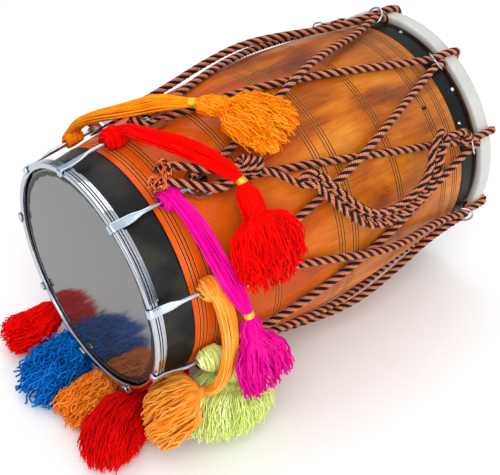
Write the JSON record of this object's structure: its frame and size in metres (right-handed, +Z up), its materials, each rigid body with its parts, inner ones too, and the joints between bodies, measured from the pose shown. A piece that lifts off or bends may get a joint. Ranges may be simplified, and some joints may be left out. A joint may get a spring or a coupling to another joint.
{
  "type": "dhol",
  "caption": "Barrel drum lying on its side: turned wooden shell, hook-tuned treble head, rope-laced bass head with tuning rings, and yarn tassels.",
  "frame": {"origin": "centre of the treble rim's front plane, on the drum's axis", "axes": "+X along the drum's axis towards the bass head, +Z up as the drum lies, -Y towards its near side"},
  "size_m": [0.7052, 0.4377, 0.4238],
  "materials": {
    "varnished_wood": "clear gloss varnish on turned reddish wood",
    "chromed_steel": "bright plated",
    "grey_film": "smoky glossy plastic film",
    "black_vinyl": "glossy black vinyl",
    "aluminium_ring": "plain rolled ring",
    "cane": "raw cane",
    "white_skin": "untanned hide, matt",
    "tuning_paste": "matt dried paste",
    "cotton_rope": "four-strand laid rope, two black and two salmon strands",
    "tassel_yarn": "loose acrylic yarn in bright colours",
    "gold_thread": "wound metallic thread"
  },
  "bodies": {
    "root": {"shell": "varnished_wood", "treble_hoop": "chromed_steel", "treble_head": "grey_film", "treble_border": "black_vinyl", "treble_flesh_ring": "aluminium_ring", "treble_band": "black_vinyl", "bass_band": "black_vinyl", "bass_hoop": "cane", "bass_head": "white_skin", "bass_paste": "tuning_paste", "band_nails": "chromed_steel", "rope_lacing": "cotton_rope", "rope_chain": "cotton_rope", "rope_ends": "cotton_rope", "tassel_ties": "gold_thread", "hook_1": "chromed_steel", "tassel_1": "tassel_yarn", "hook_2": "chromed_steel", "tassel_2": "tassel_yarn", "hook_3": "chromed_steel", "tassel_3": "tassel_yarn", "hook_4": "chromed_steel", "tassel_4": "tassel_yarn", "hook_5": "chromed_steel", "tassel_5": "tassel_yarn", "hook_6": "chromed_steel", "tassel_6": "tassel_yarn", "hook_7": "chromed_steel", "tassel_7": "tassel_yarn", "hook_8": "chromed_steel", "tassel_8": "tassel_yarn", "hook_9": "chromed_steel", "tassel_9": "tassel_yarn"},
    "stirrup_1": {"stirrup_1": "chromed_steel"},
    "nut_1": {"nut_1": "chromed_steel"},
    "ring_1": {"ring_1": "chromed_steel"},
    "stirrup_2": {"stirrup_2": "chromed_steel"},
    "nut_2": {"nut_2": "chromed_steel"},
    "ring_2": {"ring_2": "chromed_steel"},
    "stirrup_3": {"stirrup_3": "chromed_steel"},
    "nut_3": {"nut_3": "chromed_steel"},
    "ring_3": {"ring_3": "chromed_steel"},
    "stirrup_4": {"stirrup_4": "chromed_steel"},
    "nut_4": {"nut_4": "chromed_steel"},
    "ring_4": {"ring_4": "chromed_steel"},
    "stirrup_5": {"stirrup_5": "chromed_steel"},
    "nut_5": {"nut_5": "chromed_steel"},
    "ring_5": {"ring_5": "chromed_steel"},
    "stirrup_6": {"stirrup_6": "chromed_steel"},
    "nut_6": {"nut_6": "chromed_steel"},
    "ring_6": {"ring_6": "chromed_steel"},
    "stirrup_7": {"stirrup_7": "chromed_steel"},
    "nut_7": {"nut_7": "chromed_steel"},
    "ring_7": {"ring_7": "chromed_steel"},
    "stirrup_8": {"stirrup_8": "chromed_steel"},
    "nut_8": {"nut_8": "chromed_steel"},
    "ring_8": {"ring_8": "chromed_steel"},
    "stirrup_9": {"stirrup_9": "chromed_steel"},
    "nut_9": {"nut_9": "chromed_steel"},
    "ring_9": {"ring_9": "chromed_steel"}
  },
  "joints": [
    {"name": "stirrup_1_slide", "type": "slide", "parent": "root", "child": "stirrup_1", "axis": [0.9964, -0.0443, 0.0722], "range_m": [-0.006, 0.004], "deforming": ["rope_lacing"]},
    {"name": "nut_1_turn", "type": "hinge", "parent": "stirrup_1", "child": "nut_1", "pos_m": [0.12361, -0.09369, 0.1529], "axis": [0.9964, -0.0443, 0.0722], "range_deg": [-2160, 1440], "deforming": ["rope_lacing"]},
    {"name": "ring_1_slide", "type": "slide", "parent": "root", "child": "ring_1", "axis": [-0.9984, -0.0271, 0.0488], "range_m": [0, 0.012], "deforming": ["rope_lacing"]},
    {"name": "stirrup_2_slide", "type": "slide", "parent": "root", "child": "stirrup_2", "axis": [0.9964, -0.0803, 0.0269], "range_m": [-0.006, 0.004], "deforming": ["rope_lacing"]},
    {"name": "nut_2_turn", "type": "hinge", "parent": "stirrup_2", "child": "nut_2", "pos_m": [0.12361, -0.17005, 0.0569], "axis": [0.9964, -0.0803, 0.0269], "range_deg": [-2160, 1440], "deforming": ["rope_lacing"]},
    {"name": "ring_2_slide", "type": "slide", "parent": "root", "child": "ring_2", "axis": [-0.9984, -0.0521, 0.02], "range_m": [0, 0.012], "deforming": ["rope_lacing"]},
    {"name": "stirrup_3_slide", "type": "slide", "parent": "root", "child": "stirrup_3", "axis": [0.9964, -0.0788, -0.031], "range_m": [-0.006, 0.004], "deforming": ["rope_lacing"]},
    {"name": "nut_3_turn", "type": "hinge", "parent": "stirrup_3", "child": "nut_3", "pos_m": [0.12361, -0.16684, -0.06572], "axis": [0.9964, -0.0788, -0.031], "range_deg": [-2160, 1440], "deforming": ["rope_lacing"]},
    {"name": "ring_3_slide", "type": "slide", "parent": "root", "child": "ring_3", "axis": [-0.9984, -0.0528, -0.0182], "range_m": [0, 0.012], "deforming": ["rope_lacing"]},
    {"name": "stirrup_4_slide", "type": "slide", "parent": "root", "child": "stirrup_4", "axis": [0.9964, -0.0404, -0.0745], "range_m": [-0.006, 0.004], "deforming": ["rope_lacing"]},
    {"name": "nut_4_turn", "type": "hinge", "parent": "stirrup_4", "child": "nut_4", "pos_m": [0.12361, -0.08556, -0.15759], "axis": [0.9964, -0.0404, -0.0745], "range_deg": [-2160, 1440], "deforming": ["rope_lacing"]},
    {"name": "ring_4_slide", "type": "slide", "parent": "root", "child": "ring_4", "axis": [-0.9984, -0.0287, -0.0478], "range_m": [0, 0.012], "deforming": ["rope_lacing"]},
    {"name": "stirrup_5_slide", "type": "slide", "parent": "root", "child": "stirrup_5", "axis": [0.9964, 0.0169, -0.083], "range_m": [-0.006, 0.004], "deforming": ["rope_lacing"]},
    {"name": "nut_5_turn", "type": "hinge", "parent": "stirrup_5", "child": "nut_5", "pos_m": [0.12361, 0.03575, -0.17572], "axis": [0.9964, 0.0169, -0.083], "range_deg": [-2160, 1440], "deforming": ["rope_lacing"]},
    {"name": "ring_5_slide", "type": "slide", "parent": "root", "child": "ring_5", "axis": [-0.9984, 0.0087, -0.0551], "range_m": [0, 0.012], "deforming": ["rope_lacing"]},
    {"name": "stirrup_6_slide", "type": "slide", "parent": "root", "child": "stirrup_6", "axis": [0.9964, 0.0663, -0.0527], "range_m": [-0.006, 0.004], "deforming": ["rope_lacing"]},
    {"name": "nut_6_turn", "type": "hinge", "parent": "stirrup_6", "child": "nut_6", "pos_m": [0.12361, 0.14034, -0.11163], "axis": [0.9964, 0.0663, -0.0527], "range_deg": [-2160, 1440], "deforming": ["rope_lacing"]},
    {"name": "ring_6_slide", "type": "slide", "parent": "root", "child": "ring_6", "axis": [-0.9984, 0.0421, -0.0366], "range_m": [0, 0.012], "deforming": ["rope_lacing"]},
    {"name": "stirrup_7_slide", "type": "slide", "parent": "root", "child": "stirrup_7", "axis": [0.9964, 0.0847, 0.0022], "range_m": [-0.006, 0.004], "deforming": ["rope_lacing"]},
    {"name": "nut_7_turn", "type": "hinge", "parent": "stirrup_7", "child": "nut_7", "pos_m": [0.12361, 0.17926, 0.00469], "axis": [0.9964, 0.0847, 0.0022], "range_deg": [-2160, 1440], "deforming": ["rope_lacing"]},
    {"name": "ring_7_slide", "type": "slide", "parent": "root", "child": "ring_7", "axis": [-0.9984, 0.0558, -0.001], "range_m": [0, 0.012], "deforming": ["rope_lacing"]},
    {"name": "stirrup_8_slide", "type": "slide", "parent": "root", "child": "stirrup_8", "axis": [0.9964, 0.0635, 0.0561], "range_m": [-0.006, 0.004], "deforming": ["rope_lacing"]},
    {"name": "nut_8_turn", "type": "hinge", "parent": "stirrup_8", "child": "nut_8", "pos_m": [0.12361, 0.1343, 0.11882], "axis": [0.9964, 0.0635, 0.0561], "range_deg": [-2160, 1440], "deforming": ["rope_lacing"]},
    {"name": "ring_8_slide", "type": "slide", "parent": "root", "child": "ring_8", "axis": [-0.9984, 0.0434, 0.0351], "range_m": [0, 0.012], "deforming": ["rope_lacing"]},
    {"name": "stirrup_9_slide", "type": "slide", "parent": "root", "child": "stirrup_9", "axis": [0.9964, 0.0125, 0.0838], "range_m": [-0.006, 0.004], "deforming": ["rope_lacing"]},
    {"name": "nut_9_turn", "type": "hinge", "parent": "stirrup_9", "child": "nut_9", "pos_m": [0.12361, 0.02651, 0.17735], "axis": [0.9964, 0.0125, 0.0838], "range_deg": [-2160, 1440], "deforming": ["rope_lacing"]},
    {"name": "ring_9_slide", "type": "slide", "parent": "root", "child": "ring_9", "axis": [-0.9984, 0.0107, 0.0548], "range_m": [0, 0.012], "deforming": ["rope_lacing"]}
  ],
  "couplings": [
    {"joint": "nut_1_turn", "follows": "stirrup_1_slide", "rad_per_m": 6283.2},
    {"joint": "nut_2_turn", "follows": "stirrup_2_slide", "rad_per_m": 6283.2},
    {"joint": "nut_3_turn", "follows": "stirrup_3_slide", "rad_per_m": 6283.2},
    {"joint": "nut_4_turn", "follows": "stirrup_4_slide", "rad_per_m": 6283.2},
    {"joint": "nut_5_turn", "follows": "stirrup_5_slide", "rad_per_m": 6283.2},
    {"joint": "nut_6_turn", "follows": "stirrup_6_slide", "rad_per_m": 6283.2},
    {"joint": "nut_7_turn", "follows": "stirrup_7_slide", "rad_per_m": 6283.2},
    {"joint": "nut_8_turn", "follows": "stirrup_8_slide", "rad_per_m": 6283.2},
    {"joint": "nut_9_turn", "follows": "stirrup_9_slide", "rad_per_m": 6283.2}
  ]
}
